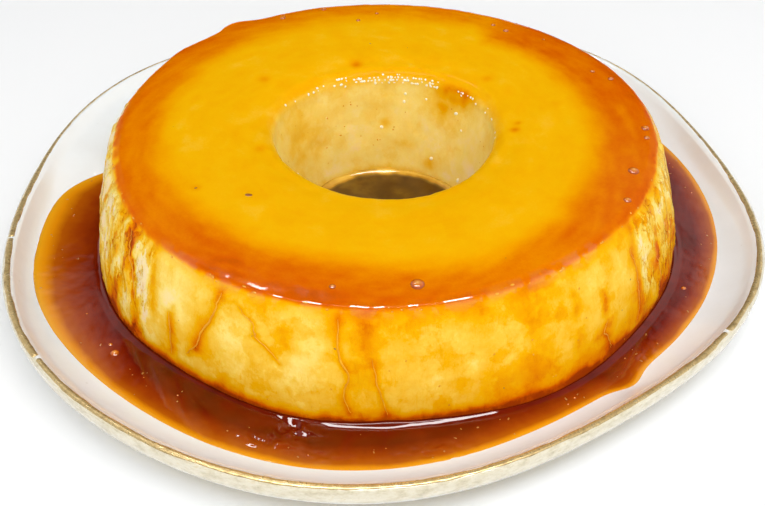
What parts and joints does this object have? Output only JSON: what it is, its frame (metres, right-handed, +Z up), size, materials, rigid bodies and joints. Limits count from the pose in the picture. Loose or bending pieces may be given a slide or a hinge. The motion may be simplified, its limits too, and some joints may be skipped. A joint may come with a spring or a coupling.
{
  "type": "caramel pudding",
  "caption": "Ring-shaped baked caramel pudding standing in its own caramel on an irregular glazed plate with a metallic edge band.",
  "frame": {"origin": "on the table, under the middle of the plate's outline", "axes": "+Z up, -Y towards the viewer of the picture, +X to the viewer's right"},
  "size_m": [0.282, 0.2844, 0.0552],
  "materials": {
    "plate_glaze": "glossy, warm white, brass-coloured band on the lip",
    "custard": "moist and glossy, stained by caramel on top",
    "caramel": "wet, glossy syrup"
  },
  "bodies": {
    "root": {"plate": "plate_glaze", "pudding": "custard", "caramel_pool": "caramel", "caramel_centre_pool": "caramel"}
  },
  "joints": []
}
